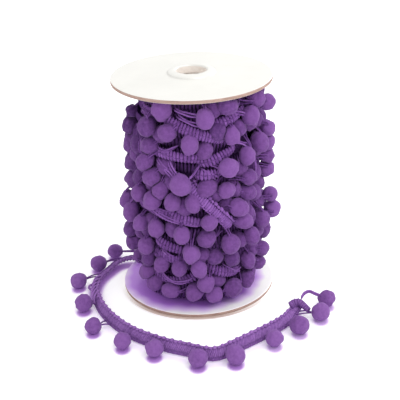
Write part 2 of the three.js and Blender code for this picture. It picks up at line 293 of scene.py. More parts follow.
def grid_faces(rows, columns, close_rows=False, close_columns=True):
    """Quads between the points of a grid, counted row by row."""
    i = np.arange(rows if close_rows else rows - 1)[:, None]
    j = np.arange(columns if close_columns else columns - 1)[None, :]
    k = (j + 1) % columns
    n = (i + 1) % rows
    corners = [i * columns + j, i * columns + k, n * columns + k, n * columns + j]
    return np.stack([np.broadcast_to(c, (len(i), j.shape[1])) for c in corners], -1).reshape(-1, 4)


def unit(v):
    return v / np.linalg.norm(v, axis=-1, keepdims=True)


def nearest(places, place):
    """How far the nearest of some places is."""
    return np.min(np.linalg.norm(np.asarray(places) - place, axis=1))


def around(angle, radius, height):
    """Points at angles round the reel, distances from its axis and heights."""
    a = np.radians(angle)
    return np.stack(np.broadcast_arrays(radius * np.sin(a), -radius * np.cos(a), height), -1)


def spline(points, steps):
    """A Catmull-Rom curve through the points."""
    p = np.asarray(points, float)
    p = np.vstack([2 * p[0] - p[1], p, 2 * p[-1] - p[-2]])
    t = np.linspace(0, 1, steps, endpoint=False)[:, None]
    out = []
    for a, b, c, d in zip(p[:-3], p[1:-2], p[2:-1], p[3:]):
        out.append(
            b + 0.5 * t * (c - a + t * (2 * a - 5 * b + 4 * c - d + t * (3 * (b - c) + d - a)))
        )
    return np.vstack([*out, p[-2:-1]])


# A direction that no thread runs along.
OFF_THREADS = np.array([0.31, 0.17, 0.94])
THREAD_END_SHARE = 0.3


def thread(shapes, line, radius, sides, tone):
    """A round thread along a line, drawn in at both ends."""
    tangent = unit(np.gradient(line, axis=0))
    side = unit(np.cross(tangent, OFF_THREADS))
    face = np.cross(side, tangent)
    radii = np.full(len(line), radius)
    radii[[0, -1]] *= THREAD_END_SHARE
    a = np.linspace(0, 2 * np.pi, sides, endpoint=False)
    ring = side[:, None] * np.cos(a)[:, None] + face[:, None] * np.sin(a)[:, None]
    points = line[:, None] + ring * radii[:, None, None]
    shapes.add(points, grid_faces(len(line), sides), tone)


# The reel
ROUND_SIDES = 160


def turned(shapes, profile, materials, tone):
    """A closed profile of (radius, height) turned round the axis; one material number a step."""
    profile = np.asarray(profile, float)
    a = np.linspace(0, 360, ROUND_SIDES, endpoint=False)
    points = around(a[None, :], profile[:, :1], profile[:, 1:])
    faces = grid_faces(len(profile), ROUND_SIDES, close_rows=True)
    per_step = np.repeat(np.asarray(materials), ROUND_SIDES)
    for number in np.unique(per_step):
        chosen = faces[per_step == number]
        used, renumbered = np.unique(chosen, return_inverse=True)
        placed = points.reshape(-1, 3)[used]
        shapes.add(placed, renumbered.reshape(-1, 4), tone(placed), int(number))


# The upper card takes no painted reflection.
def no_painted_reflection(places):
    return np.zeros(len(places))


# How far from the axis the painted violet reflection of the winding reaches on the lower card, how much
# further to the left, the waves of its edge (height, count, phase), and how wide it fades at the sides
# and in front.
CAST_REACH = 43.8
CAST_LEFTWARDS = 3.8
CAST_WAVES = [(0.7, 9, 0.6), (0.5, 23, 0.0)]
CAST_FADE = 6.5
CAST_FRONT_FADE = 2.5


def painted_violet_reflection(places):
    """How much painted violet reflection of the winding the lower card takes, most at its left and in
    front.
    """
    radius = np.hypot(places[:, 0], places[:, 1])
    angle = np.arctan2(places[:, 0], -places[:, 1])
    reach = CAST_REACH - CAST_LEFTWARDS * np.sin(angle)
    for height, count, phase in CAST_WAVES:
        reach = reach + height * np.sin(count * angle + phase)
    fade = CAST_FADE + CAST_FRONT_FADE * np.clip(np.cos(angle), 0, 1)
    share = np.clip((reach - radius) / fade, 0, 1)
    return np.where(places[:, 2] > FLANGE_THICK / 2, share, 0)


HUB_RING_RADIUS = 13.4
# How far the upper card bulges over the tube's end, by distance from the axis.
DOME = np.array([
    (BORE_RADIUS, 2.4), (BORE_RADIUS + 0.3, 2.9), (BORE_RADIUS + 1.0, 3.1),
    (HUB_RING_RADIUS - 1.6, 2.6), (HUB_RING_RADIUS - 0.5, 2.2), (HUB_RING_RADIUS - 0.1, 1.9),
    (HUB_RING_RADIUS, 1.25), (HUB_RING_RADIUS + 0.5, 1.2), (HUB_RING_RADIUS + 1.2, 1.3),
    (18, 0.95), (23, 0.5), (29, 0.1),
    (33, 0),
])


FLAT_START = 34
FLAT_RINGS = 26
RIM_SOFTNESS = 0.14
HOLE_SOFTNESS = 0.3
HOLE_SOFT_WIDTH = 0.2


def flange(name, node, face, bottom, bulge, tone):
    """A card disc with a raw edge, whose upper face may bulge over the tube's end. Its materials are
    0 on the faces, 1 on the rim's edge and 2 in the hole."""
    top = bottom + FLANGE_THICK
    outer = FLANGE_RADIUS
    flat = np.linspace(FLAT_START, outer - RIM_SOFTNESS, FLAT_RINGS)
    radii = np.concatenate([DOME[:, 0], flat])
    rise = bulge * np.interp(radii, DOME[:, 0], DOME[:, 1])
    hole_soft = HOLE_SOFTNESS * np.exp(-(((radii - BORE_RADIUS) / HOLE_SOFT_WIDTH) ** 2))
    upper = [*zip(radii, top + rise - hole_soft), (outer, top - RIM_SOFTNESS)]
    lower = [(outer, bottom + RIM_SOFTNESS), *zip(radii[::-1], (bottom + hole_soft)[::-1])]
    profile = [*upper, *lower]
    materials = [0] * len(profile)
    materials[len(upper) - 1] = 1
    materials[-1] = 2
    shapes = Shapes()
    turned(shapes, profile[::-1], materials[::-1][1:] + materials[::-1][:1], tone)
    shapes.make(name, [face, card_edge, tube_card], "card", node)


upper_bottom = REEL_HEIGHT - FLANGE_THICK
# The lower flange's card carries painted violet reflection of the winding; the upper one carries none.
flange("lower_flange", "flange_bottom", card, bottom=0.0, bulge=0, tone=painted_violet_reflection)
flange("upper_flange", "flange_top", upper_card, bottom=upper_bottom, bulge=1, tone=no_painted_reflection)

SEAM_PITCH = 26
SEAM_DEPTH = 0.22
SEAM_WIDTH = 0.9


def hub_tube():
    """The card tube, with the open seam of its inner ply wound up its bore as a shallow helix."""
    rows = 120
    sides = 72
    a = np.linspace(0, 360, sides, endpoint=False)[None, :]
    heights = np.linspace(TUBE_BOTTOM, TUBE_TOP, rows)[:, None]
    seam = np.mod(heights / SEAM_PITCH - a / 360, 1.0)
    groove = SEAM_DEPTH * np.exp(-(((seam - 0.5) * SEAM_PITCH / SEAM_WIDTH) ** 2))
    inside = around(a, TUBE_BORE_RADIUS + groove, heights)[:, ::-1]
    outside = around(a, TUBE_RADIUS + 0 * heights, heights)[::-1][:, ::-1]
    shapes = Shapes()
    shapes.add([*inside, *outside], grid_faces(2 * rows, sides, close_rows=True))
    shapes.make("hub_tube", [tube_card], "tube_card", "core_tube")


hub_tube()


# The trim fills the tube's whole height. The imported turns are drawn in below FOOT_HEIGHT.
WINDING_RADIUS = 35.0
FOOT_RADIUS = 31.0
FOOT_HEIGHT = 40.0
# The pompoms on it: how far out their centres stand, how close two of them press together, and how
# far from a flange their centres stay.
POMPOM_STAND = 4.0
SQUEEZED_SPACING = 8.2
SETTLING_PASSES = 30
POMPOM_CLEAR = 4.8
# The back, which the photo doesn't show, starts this far round, and its pompoms are scattered.
FRONT_REACH = 99
BACK_TRIES = 3000
BACK_SPACING = 9.6
BACK_STAND = (-1, 2)
LEFT_INSET = 3.0
RIGHT_INSET = 2.2
# The winding's upper left corner is bare and drawn in.
BARE_HEIGHT = 101
BARE_ANGLE = 215
CORNER_ANGLE = -85
CORNER_FOOT = 102
CORNER_INSET = 4.8
CORNER_WIDTH = 50
CORNER_PLATEAU = 1.3
CORNER_RISE = 9

# Runs of pompoms on the front: where the first one lies and how far it stands out, the step round,
# the rise and the further stand from one to the next, how many there are, which way their threads
# go, in degrees clockwise from straight up, and their size beside the common one.
POMPOM_RUNS = [
    (-24, 123, 0.5, 0, 0, 0, 1, 0, 1.04), (28, 122.5, 0.5, 0, 0, 0, 1, 80, 1.08),
    (59, 121, 1, 11, -4, 3, 2, -75, 1), (9, 117.5, 1.5, 0, 0, 0, 1, 0, 0.93),
    (51, 113.5, 1, -20, -8, 0, 2, 0, 1), (-84, 110.5, -5, 0, 0, 0, 1, -110, 0.8),
    (-38.5, 111, 0.5, 0, 0, 0, 1, 0, 1), (-20.5, 109.5, 1, 0, 0, 0, 1, 55, 1),
    (-3, 103.5, 1, 12, -5, -3.5, 2, 10, 1), (20, 108.5, -2, 0, 0, 0, 1, 0, 1),
    (-39, 99.5, -1, 0, 0, 0, 1, 70, 1), (-88, 101.5, -3.5, 1, -10.8, -0.2, 4, 0, 1.05),
    (-64, 95, -5, 0, -20, 0, 2, 0, 0.95), (-41, 91, 1.5, 5, -8.7, -1, 3, 30, 1),
    (79, 99.5, 3, 2, -8.8, -0.3, 4, -60, 1), (65, 94.5, 1, -19.5, -3, 0.6, 2, 20, 1),
    (26, 88.5, 2.5, 0, 0, 0, 1, 75, 1.08), (-10.5, 80.5, 2.5, 0, 0, 0, 1, -20, 1.15),
    (10, 77, -1.5, 15, -2, 3, 2, 70, 1), (47.5, 78, 1, -0.5, -9, -1, 2, -70, 1),
    (-51.5, 70, 1, 16.5, -0.4, -0.3, 4, 10, 1), (35, 63, 2, 6, -10, -1.5, 2, -75, 1.06),
    (10, 57.5, 2, -2, -11, -2.5, 2, 70, 1), (-84, 56.5, 0.7, 16, -2.7, 0, 3, 15, 1),
    (-35, 51, 0.5, 23, -1, 1, 2, 0, 1), (85, 57, 4.5, 0, -9.5, 1, 2, -85, 1),
    (68, 46.5, 1.5, 0, 0, 0, 1, 0, 1), (50, 41.5, 1.5, -22.5, 0, 0, 2, 0, 1.05),
    (-47, 37.5, 1, 42, 1, 1, 2, 0, 1), (15.5, 33.5, -2.5, 0, 0, 0, 1, 90, 1),
    (-85, 37, 0, 0, -8, 0, 2, 0, 1), (86, 34, 0.5, 0, 0, 0, 1, 0, 1),
    (72, 26, 1.5, 0, -9.5, -1, 2, -60, 1), (31, 31, -1, 22, -7.5, 0, 2, 0, 1),
    (-50, 28, -1.2, 17, 0, 0.7, 4, 10, 1), (-52, 19, 0, 8, -6, -0.4, 2, 20, 1),
    (50, 12, 0.5, -18, -1.2, 0.3, 3, 60, 1), (-26, 11.5, 0.5, 22.3, 0.3, -0.5, 2, 70, 1),
    (6, 18, 1.5, 0, 0, 0, 1, 40, 1),
]

# Runs of the braid that show between them: both ends, the rise of the middle above a straight
# line, which of its three looks shows, and how much further it stands out.
BRAID_RUNS = [
    (-56, 118.5, -24, 117, 0, "smooth", -1), (-36, 121, 30, 102, -1, "looped", 0.8),
    (14, 112, 50, 117, 0, "looped", 0), (-40, 97, 8, 93, 1, "looped", 0.4),
    (4, 91, 38, 97, 0, "looped", 0.4), (0, 85, 24, 84, 0, "looped", 0),
    (-6, 79.5, 32, 49.5, 1, "fine", 3.2), (-62, 61, -8, 55, 3, "looped", 0),
    (-28, 62, 8, 55, 0, "looped", 0.6), (-40, 44, -8, 37, 0, "looped", 0),
    (-46, 33, -6, 31, 1, "looped", 0), (-50, 21, 0, 22, -4, "looped", 0),
    (4, 28, 46, 18, -0.5, "looped", 0),
]

# Loose cords in front of the winding: both ends, how far the middle sags and how far out it stands.
CORDS = [
    (-16, 121.5, 14, 118, 1, 2.6), (-14, 118, 12, 112, 1, 2.2), (32, 118, 56, 113, 1, 3),
    (-33, 92, -12, 81, -1.5, 3.6), (-22, 92.5, -11.5, 81, -1, 4.4), (3, 89.5, -10, 81, 1, 4),
    (-33, 98.5, -14, 100.5, 1, 3), (-27, 90, -14, 79, -1, 4.2), (36, 100, 54, 92, -1, 3.4),
    (11, 90, 33, 81, -1.5, 2.4), (4, 86.5, 19, 80, -1.5, 2.6), (-39, 24, -6, 20, 4.5, 4),
    (-62, 63.5, -13, 59, -2, 2.6), (-50, 66, 3, 53.5, 1.5, 3.6), (-34, 37, -12, 33, 1, 2.4),
    (14, 110, 44, 104, 1.5, 2.6), (-52, 101, -44, 88, 0, 3), (34, 77, 38, 66, 0, 2.8),
    (60, 88, 58, 70, 1, 3), (56, 57, 60, 44, 1, 2.4), (22, 26, 44, 19, 1.5, 2.6),
    (-12, 47, -2, 34, 0, 3),
]


def winding_radius(height):
    foot = np.clip((FOOT_HEIGHT - height) / FOOT_HEIGHT, 0, 1)
    return WINDING_RADIUS - (WINDING_RADIUS - FOOT_RADIUS) * foot


def corner_inset(angle, height):
    """How far the turns draw in at the winding's upper left corner."""
    from_corner = np.abs(np.mod(angle - CORNER_ANGLE + 180, 360) - 180)
    beside = np.clip(CORNER_PLATEAU - from_corner / CORNER_WIDTH, 0, 1)
    return CORNER_INSET * beside * np.clip((height - CORNER_FOOT) / CORNER_RISE, 0, 1)


def side_inset(angle, left=LEFT_INSET, right=RIGHT_INSET):
    """How far pompoms draw in towards the winding's two sides."""
    sideways = math.sin(math.radians(angle))
    return (left if sideways < 0 else right) * sideways**2


def on_side(side, angle, height):
    """A place on the front for side 0, or turned half round and upside down on the back for side 1."""
    return (angle + 180, REEL_HEIGHT - height) if side else (angle, height)


def settled_pompoms():
    """Centres, hangs and sizes of the wound pompoms, pressed apart where they meet: the front's in
    its runs, the back's wherever there is room."""
    centres = []
    hangs = []
    sizes = []
    for angle, height, stand, step, rise, further, count, hang, size in POMPOM_RUNS:
        for i in range(count):
            h = height + i * rise
            out = winding_radius(h) + POMPOM_STAND + stand + i * further
            centres.append(around(angle + i * step, out, h))
            hangs.append(hang)
            sizes.append(size)
    low = TUBE_BOTTOM + POMPOM_CLEAR
    high = TUBE_TOP - POMPOM_CLEAR
    for _ in range(BACK_TRIES):
        h = draw(low, high)
        a = draw(FRONT_REACH, 360 - FRONT_REACH)
        out = winding_radius(h) + POMPOM_STAND + draw(*BACK_STAND)
        centre = around(a, out - side_inset(a), h)
        if h > BARE_HEIGHT and a > BARE_ANGLE:
            continue
        if nearest(centres, centre) > BACK_SPACING:
            centres.append(centre)
            hangs.append(draw(-90, 90))
            sizes.append(1)
    centres = np.array(centres)
    for _ in range(SETTLING_PASSES):
        for i in range(len(centres) - 1):
            between = centres[i + 1 :] - centres[i]
            distance = np.linalg.norm(between, axis=1)
            for j in np.flatnonzero(distance < SQUEEZED_SPACING):
                apart = centres[i + 1 + j] - centres[i]
                length = np.linalg.norm(apart)
                if length >= SQUEEZED_SPACING:
                    continue
                push = apart / length * (SQUEEZED_SPACING - length) / 2
                centres[i] -= push
                centres[i + 1 + j] += push
        centres[:, 2] = np.clip(centres[:, 2], low, high)
    return centres, np.array(hangs), np.array(sizes)


# Pompoms
def ball(subdivisions):
    made = bmesh.new()
    bmesh.ops.create_icosphere(made, subdivisions=subdivisions, radius=1)
    points = np.array([v.co for v in made.verts])
    faces = np.array([[v.index for v in f.verts] for f in made.faces])
    made.free()
    return points, faces


DEEP_DETAIL = 3
WOUND_DETAIL = 4
LYING_DETAIL = 5
BALLS = {level: ball(level) for level in (DEEP_DETAIL, WOUND_DETAIL, LYING_DETAIL)}
# A phase drawn for a wave lies between 0 and this, a little over a full turn.
ANY_PHASE = 6.3
# A pompom's lumps, grain, crease and drawn-out top: heights and widths are shares of its radius.
LUMPS = 9
LUMP_HEIGHT = 0.042
GRAIN_HEIGHT = 0.006
GRAIN_WAVES = 22
CREASE_WIDTH = 0.10
CREASE_DEPTH = 0.07
DRAWN_TOP = 0.06
# Pompoms that meet leave a gap and keep a little of their roundness.
PRESSED_GAP = 0.15
PRESSED_SHARE = 0.92


def pompom(shapes, centre, radius, axis, long, level, planes, tone, neighbours=()):
    """A felted ball, longer along its axis, uneven, creased where its thread ties it, and pressed
    flat where a neighbour or a plane (point, normal) meets it."""
    directions, faces = BALLS[level]
    axis = unit(axis)
    along = directions @ axis
    top = np.clip(along, 0, 1)
    reach = np.ones(len(directions))
    for k in range(LUMPS):
        wave = random.normal(size=3) * (2.0 + 0.7 * k)
        height = LUMP_HEIGHT / (1 + 0.5 * k)
        reach += height * np.sin(directions @ wave + draw(0, ANY_PHASE))
    grain = directions @ (random.normal(size=3) * GRAIN_WAVES)
    reach += GRAIN_HEIGHT * np.sin(grain + draw(0, ANY_PHASE))
    tie = unit(np.cross(axis, random.normal(size=3)))
    crease = np.exp(-((directions @ tie / CREASE_WIDTH) ** 2)) * top**2
    reach -= CREASE_DEPTH * crease
    pulled = directions + axis * ((long - 1) * along + DRAWN_TOP * top**4)[:, None]
    points = centre + pulled * (reach * radius)[:, None]
    for other in neighbours:
        between = other - centre
        distance = np.linalg.norm(between)
        outward = between / distance
        past = (points - centre) @ outward - distance / 2
        points -= outward * (np.clip(past + PRESSED_GAP, 0, None) * PRESSED_SHARE)[:, None]
    for point, normal in planes:
        past = (points - point) @ normal
        points -= normal * np.clip(past, 0, None)[:, None]
    shapes.add(points, faces, tone)


def surface_directions(centre):
    outward = unit(centre * [1, 1, 0])
    right = np.array([-outward[1], outward[0], 0.0])
    return outward, right


WOUND_RADIUS = 4.75
WOUND_LONG = 1.15
WOUND_LEAN = 0.25
HANG_SCATTER = 18
NEIGHBOUR_REACH = 13
# Painted shade: pompoms that stand further in are darker, by the step below for each millimetre.
POMPOM_TONE = 0.45
PAINTED_SHADE_STEP = 0.07
FLANGE_GAP = 0.1
UP = np.array([0.0, 0.0, 1.0])
FLANGE_PLANES = [
    (UP * (FLANGE_THICK + FLANGE_GAP), -UP),
    (UP * (REEL_HEIGHT - FLANGE_THICK - FLANGE_GAP), UP),
]
# A thread pair leaves its pompom through two places, each (along the pompom, out, apart), sags
# between the second and its root, and parts there.
THREAD_RADIUS = 0.42
THREAD_REACH = (10.5, 13)
THREAD_START = [(3.5, 1.2, 0.35), (6.2, 0.6, 0.5)]
THREAD_SAG = (7, 0.6, 0.9)
ROOT_STAND = 0.6
ROOT_APART = 1.7
centres, hangs, sizes = settled_pompoms()


def wound_pompoms():
    """The pompoms that show on the winding, front and back as two pieces, and their thread pairs."""
    pieces = {True: Shapes(), False: Shapes()}
    threads = Shapes()
    for centre, hang, size in zip(centres, hangs, sizes):
        outward, right = surface_directions(centre)
        turn = math.radians(hang + draw(-HANG_SCATTER, HANG_SCATTER))
        axis = UP * math.cos(turn) + right * math.sin(turn)
        distance = np.linalg.norm(centres - centre, axis=1)
        stand = np.hypot(centre[0], centre[1]) - winding_radius(centre[2]) - POMPOM_STAND
        # Painted shade by how far in the pompom stands, with a random tone on top.
        tone = POMPOM_TONE + PAINTED_SHADE_STEP * stand + draw(-0.2, 0.2)
        pompom(
            pieces[bool(centre[1] < 0)],
            centre,
            radius=WOUND_RADIUS * size * draw(0.95, 1.07),
            axis=axis - outward * WOUND_LEAN,
            long=WOUND_LONG * draw(0.92, 1.08),
            level=WOUND_DETAIL,
            planes=FLANGE_PLANES,
            tone=np.clip(tone, 0.05, 0.95),
            neighbours=centres[(distance > 0) & (distance < NEIGHBOUR_REACH)],
        )
        root = centre + axis * draw(*THREAD_REACH)
        height = np.clip(root[2], TUBE_BOTTOM + 1, TUBE_TOP - 1)
        bearing = math.degrees(math.atan2(root[0], -root[1]))
        out = winding_radius(height) + ROOT_STAND - corner_inset(bearing, height)
        root = unit(root * [1, 1, 0]) * out + UP * height
        spread = unit(np.cross(axis, outward))
        sag_along, sag_in, sag_apart = THREAD_SAG
        for hand in (-1, 1):
            line = [centre + axis * a + outward * o + spread * s * hand for a, o, s in THREAD_START]
            sag = (centre + axis * sag_along + root) / 2
            line.append(sag + spread * sag_apart * hand - outward * sag_in)
            line.append(root + spread * ROOT_APART * hand)
            thread(threads, spline(line, 4), THREAD_RADIUS, 6, draw(0.2, 0.6))
    pieces[True].make("pompoms_front", [felt], "pompom_yarn", "wound_trim")
    pieces[False].make("pompoms_back", [felt], "pompom_yarn", "wound_trim")
    threads.make("pompom_threads", [gimp], "pompom_yarn", "wound_trim")


wound_pompoms()


# Braid
class Band:
    """A band's middle line with its directions across and out of its face, by length along it."""

    def __init__(self, middle, across, face, closed=False):
        if closed:
            middle, across, face = (np.vstack([m, m[:1]]) for m in (middle, across, face))
        steps = np.linalg.norm(np.diff(middle, axis=0), axis=1)
        self.at = np.concatenate([[0], np.cumsum(steps)])
        self.length = self.at[-1]
        self.columns = np.hstack([middle, across, face])

    def place(self, s, c, h):
        s, c, h = np.broadcast_arrays(s, c, h)
        row = np.stack([np.interp(s, self.at, column) for column in self.columns.T], -1)
        return row[..., :3] + row[..., 3:6] * c[..., None] + row[..., 6:] * h[..., None]


RIB_ROUNDING = 3.2
RIB_SIZES = (0.88, 1.12)
SHORT_RIB = 0.87
RIB_TONES = 0.12


def ribs(shapes, band, pitch, from_c, to_c, slant, radius, rise, rings, tone, sides=8):
    """Short cords side by side along a band, each from one place across it to another, slanted and
    arched, and every second one a little longer."""
    count = int(band.length / pitch)
    number = np.arange(count)[:, None, None]
    t = np.linspace(0, 1, rings)[:, None]
    a = np.linspace(0, 2 * np.pi, sides, endpoint=False)
    thick = radius * np.sqrt(np.clip(1 - np.abs(2 * t - 1) ** RIB_ROUNDING, 0.02, 1))
    jitter = draw(*RIB_SIZES, (count, 1, 1))
    longer = np.where(number % 2, 1.0, SHORT_RIB)
    start = np.where(abs(from_c) > abs(to_c), from_c * longer, from_c)
    end = np.where(abs(to_c) > abs(from_c), to_c * longer, to_c)
    s = (number + 0.5) * band.length / count + slant * (t - 0.5) + thick * np.cos(a) * jitter
    c = start + (end - start) * t
    h = rise * np.sin(np.pi * t) + thick * np.sin(a) * jitter
    points = band.place(np.clip(s, 0, band.length), c, h)
    size = rings * sides
    every = (grid_faces(rings, sides) + number * size).reshape(-1, 4)
    tones = np.repeat(tone + draw(-RIB_TONES, RIB_TONES, count), size)
    shapes.add(points, every, tones)


def ground(shapes, band, low, high, thickness, step, tone):
    """The thin flat cloth of a band, closed all round."""
    rows = max(4, int(band.length / step))
    s = np.linspace(0, band.length, rows)[:, None]
    middle = low * 0.5 + high * 0.5
    c = np.array([low, middle, high, high, middle, low])[None, :]
    h = np.array([-1, -1, -1, 1, 1, 1])[None, :] * thickness / 2
    caps = np.array([[0, 5, 4, 1], [1, 4, 3, 2]])
    last = (rows - 1) * 6
    end_caps = caps[:, ::-1] + last
    shapes.add(band.place(s, c, h), (grid_faces(rows, 6), caps, end_caps), tone)


def cord_along(shapes, band, c, h, radius, wave, pitch, tone, step=0.7, sides=6):
    """A thread that runs along the band, swaying from side to side."""
    s = np.arange(0, band.length, step)
    sway = wave * np.sin(2 * np.pi * s / pitch)
    thread(shapes, band.place(s, c + sway, h), radius, sides, tone)


BAND_HALF = 3.1
FINE_HALF = 3.8
LOOPS = dict(pitch=1.8, slant=0.5, radius=0.92, rise=0.55, rings=7)
LOOP_CORD = dict(c=0.15, h=1.35, radius=0.26, wave=0.3, pitch=2 * LOOPS["pitch"])
SMOOTH_SCALLOPS = dict(pitch=2.6, slant=0, radius=1.25, rise=0.2, rings=5)
SMOOTH_CORD = dict(h=0.95, radius=0.3, wave=0.15, pitch=2.6)
FINE_RIBS = dict(pitch=1.45, slant=0.7, radius=0.8, rise=0.6, rings=8)
FINE_BEADS = dict(pitch=2.2, slant=0.2, radius=1.15, rise=0.3, rings=6)
FINE_CORD = dict(h=0.9, radius=0.3, wave=0.2, pitch=2.9)
# Painted shade: cords in a braid's hollows are this much darker than its ribs.
CORD_SHADE = 0.15


def looped_braid(shapes, band, tone):
    """One column of rounded loops across the band, with a thin thread over their middle."""
    ribs(shapes, band, from_c=-BAND_HALF, to_c=BAND_HALF, tone=tone, **LOOPS)
    cord_along(shapes, band, tone=tone - CORD_SHADE, **LOOP_CORD)


def smooth_braid(shapes, band, tone):
    """The braid's back: a smooth cloth between two scalloped edges, with a double thread along it."""
    edge = BAND_HALF
    ground(shapes, band, -edge + 0.6, edge - 0.6, thickness=1.5, step=1.0, tone=tone)
    for hand in (-1, 1):
        inner = (edge - 1.4) * hand
        ribs(shapes, band, from_c=inner, to_c=edge * hand, tone=tone, **SMOOTH_SCALLOPS)
    for c in (-0.5, 0.3):
        cord_along(shapes, band, c, tone=tone - CORD_SHADE, **SMOOTH_CORD)


def fine_braid(shapes, band, tone):
    """One column of fine ribs with a beaded edge above them and a thin thread along their foot."""
    edge = FINE_HALF
    ribs(shapes, band, from_c=-edge + 1.2, to_c=edge, tone=tone, **FINE_RIBS)
    ribs(shapes, band, from_c=-edge - 0.5, to_c=-edge + 1.5, tone=tone, **FINE_BEADS)
    cord_along(shapes, band, edge - 0.8, tone=tone, **FINE_CORD)


BRAIDS = {"looped": looped_braid, "smooth": smooth_braid, "fine": fine_braid}
# A run's ends lie this deep in the winding, and its middle rises this far from there.
RUN_DEPTH = -2.2
RUN_LIFT = 5.4
RUN_FLATNESS = 0.45
RUN_LEAN = 14
RUN_WOBBLE = 0.5


def run_band(run, side, steps=36):
    """A run of the braid on the winding: it rises from under its neighbours and dives again."""
    start, from_h, end, to_h, bow, _, forward = run
    t = np.linspace(0, 1, steps)
    angle, height = on_side(
        side,
        start + (end - start) * t,
        from_h + (to_h - from_h) * t + bow * 4 * t * (1 - t),
    )
    lift = RUN_DEPTH + (RUN_LIFT + forward) * np.clip(np.sin(np.pi * t), 0, 1) ** RUN_FLATNESS
    lift = lift - corner_inset(angle, height)
    wobble = RUN_WOBBLE * np.sin(7 * t + 3 * bow + side)
    middle = around(angle, winding_radius(height) + lift + wobble, height)
    outward = around(angle, 1.0, 0.0 * t)
    tangent = unit(np.gradient(middle, axis=0))
    lean = np.radians(RUN_LEAN * np.sin(5 * t + bow))[:, None]
    across = unit(np.cross(tangent, outward))
    face = np.cross(across, tangent)
    across = across * np.cos(lean) + face * np.sin(lean)
    face = np.cross(across, tangent)
    facing = np.sign(np.sum(face * outward, axis=1, keepdims=True))
    return Band(middle, across, face * facing)


def wound_braid():
    """The runs of the braid, each with a thin cloth behind its ribs that is dark with painted shade."""
    shapes = Shapes()
    edge = BAND_HALF - 0.4
    for run in BRAID_RUNS:
        *_, kind, forward = run
        for side in (0, 1):
            band = run_band(run, side)
            # Painted light: runs that stand further out get a lighter tone.
            BRAIDS[kind](shapes, band, 0.6 + 0.06 * forward)
            # Tone 0.1: the backing cloth is dark with painted shade.
            ground(shapes, band, -edge, edge, thickness=0.5, step=2.0, tone=0.1)
    shapes.make("braid_runs", [gimp], "braid_yarn", "wound_trim")


wound_braid()

CORD_RADIUS = 0.5
CORD_LIFT = 1.2
CORD_FLATNESS = 0.4


def loose_cords():
    """Pairs of threads that have slipped off the turns and cross them."""
    shapes = Shapes()
    t = np.linspace(0, 1, 22)
    for start, from_h, end, to_h, sag, stand in CORDS:
        for side in (0, 1):
            for strand in (0, 1):
                phase = draw(0, ANY_PHASE)
                height = from_h + (to_h - from_h) * t - sag * 4 * t * (1 - t)
                height = height + 1.1 * strand + 0.35 * np.sin(9 * t + phase)
                angle = start + (end - start) * t + 1.4 * strand
                angle, height = on_side(side, angle, height)
                arch = np.clip(np.sin(np.pi * t), 0.02, 1) ** CORD_FLATNESS
                out = winding_radius(height) + (stand + CORD_LIFT) * arch
                out = out + 0.3 * np.sin(7 * t + phase)
                tone = draw(0.5, 0.95)
                thread(shapes, around(angle, out, height), CORD_RADIUS, 6, tone)
    shapes.make("loose_cords", [gimp], "pompom_yarn", "wound_trim")


loose_cords()

TURN_PITCH = 7.3
TURN_HALF = 3.7
TURN_DEPTH = 1.1
TURN_LEAN = 16
TURN_RIBS = dict(pitch=2.0, slant=0.5, radius=0.9, rise=0.5, rings=5, sides=5)


def deep_turns():
    """The turns under the showing ones: closed wavy loops of ribbed braid down the whole winding."""
    shapes = Shapes()
    count = int((TUBE_TOP - TUBE_BOTTOM) / TURN_PITCH)
    half = TURN_HALF
    angle = np.linspace(0, 360, 120, endpoint=False)
    a = np.radians(angle)
    for i in range(count):
        phase = draw(0, ANY_PHASE, 4)
        height = TUBE_BOTTOM + (i + 0.5) * (TUBE_TOP - TUBE_BOTTOM) / count
        sway = 1.3 * np.sin(a + phase[0]) + 0.9 * np.sin(3 * a + phase[1])
        height = np.clip(height + sway, TUBE_BOTTOM + half, TUBE_TOP - half)
        radius = winding_radius(height) - TURN_DEPTH + 0.8 * np.sin(5 * a + phase[2])
        radius = radius - corner_inset(angle, height)
        middle = around(angle, radius, height)
        outward = around(angle, 1.0, 0.0 * a)
        lean = np.radians(TURN_LEAN * np.sin(4 * a + phase[3]))[:, None]
        across = UP * np.cos(lean) + outward * np.sin(lean)
        face = outward * np.cos(lean) - UP * np.sin(lean)
        band = Band(middle, across, face, closed=True)
        ribs(shapes, band, from_c=-half, to_c=half, tone=0.45, **TURN_RIBS)
    shapes.make("deep_turns", [shaded_gimp], "braid_yarn", "wound_trim")


deep_turns()

CORE_DEPTH = 3.4
CORE_GAP = 0.3


def core():
    """What lies under the turns: a lumpy body round the tube, dark with painted shade."""
    shapes = Shapes()
    rows = 64
    sides = 96
    a = np.linspace(0, 360, sides, endpoint=False)[None, :]
    heights = np.linspace(TUBE_BOTTOM, TUBE_TOP, rows)[:, None]
    lumps = 0.5 * np.sin(np.radians(a) * 9 + heights * 0.6) * np.sin(heights * 0.9)
    radii = winding_radius(heights) - CORE_DEPTH + lumps - corner_inset(a, heights)
    inside = around(a, TUBE_RADIUS + CORE_GAP + 0 * heights, heights)[::-1]
    points = [*around(a, radii, heights), *inside]
    # Tone 0.1: painted shade deep in the winding.
    shapes.add(points, grid_faces(2 * rows, sides, close_rows=True), tone=0.1)
    shapes.make("winding_core", [shaded_gimp], "braid_yarn", "wound_trim")


core()

DEEP_TRIES = 2600
DEEP_RADIUS = 4.9
DEEP_STAND = 0.6
DEEP_BELOW = 9
DEEP_ABOVE = 5
DEEP_BARE_ANGLE = -40
# How close a deep pompom comes to a showing one, to a braid run and to another deep one.
DEEP_TO_SHOWING = 7.4
DEEP_TO_RUN = 7.0
DEEP_SPACING = 9.0


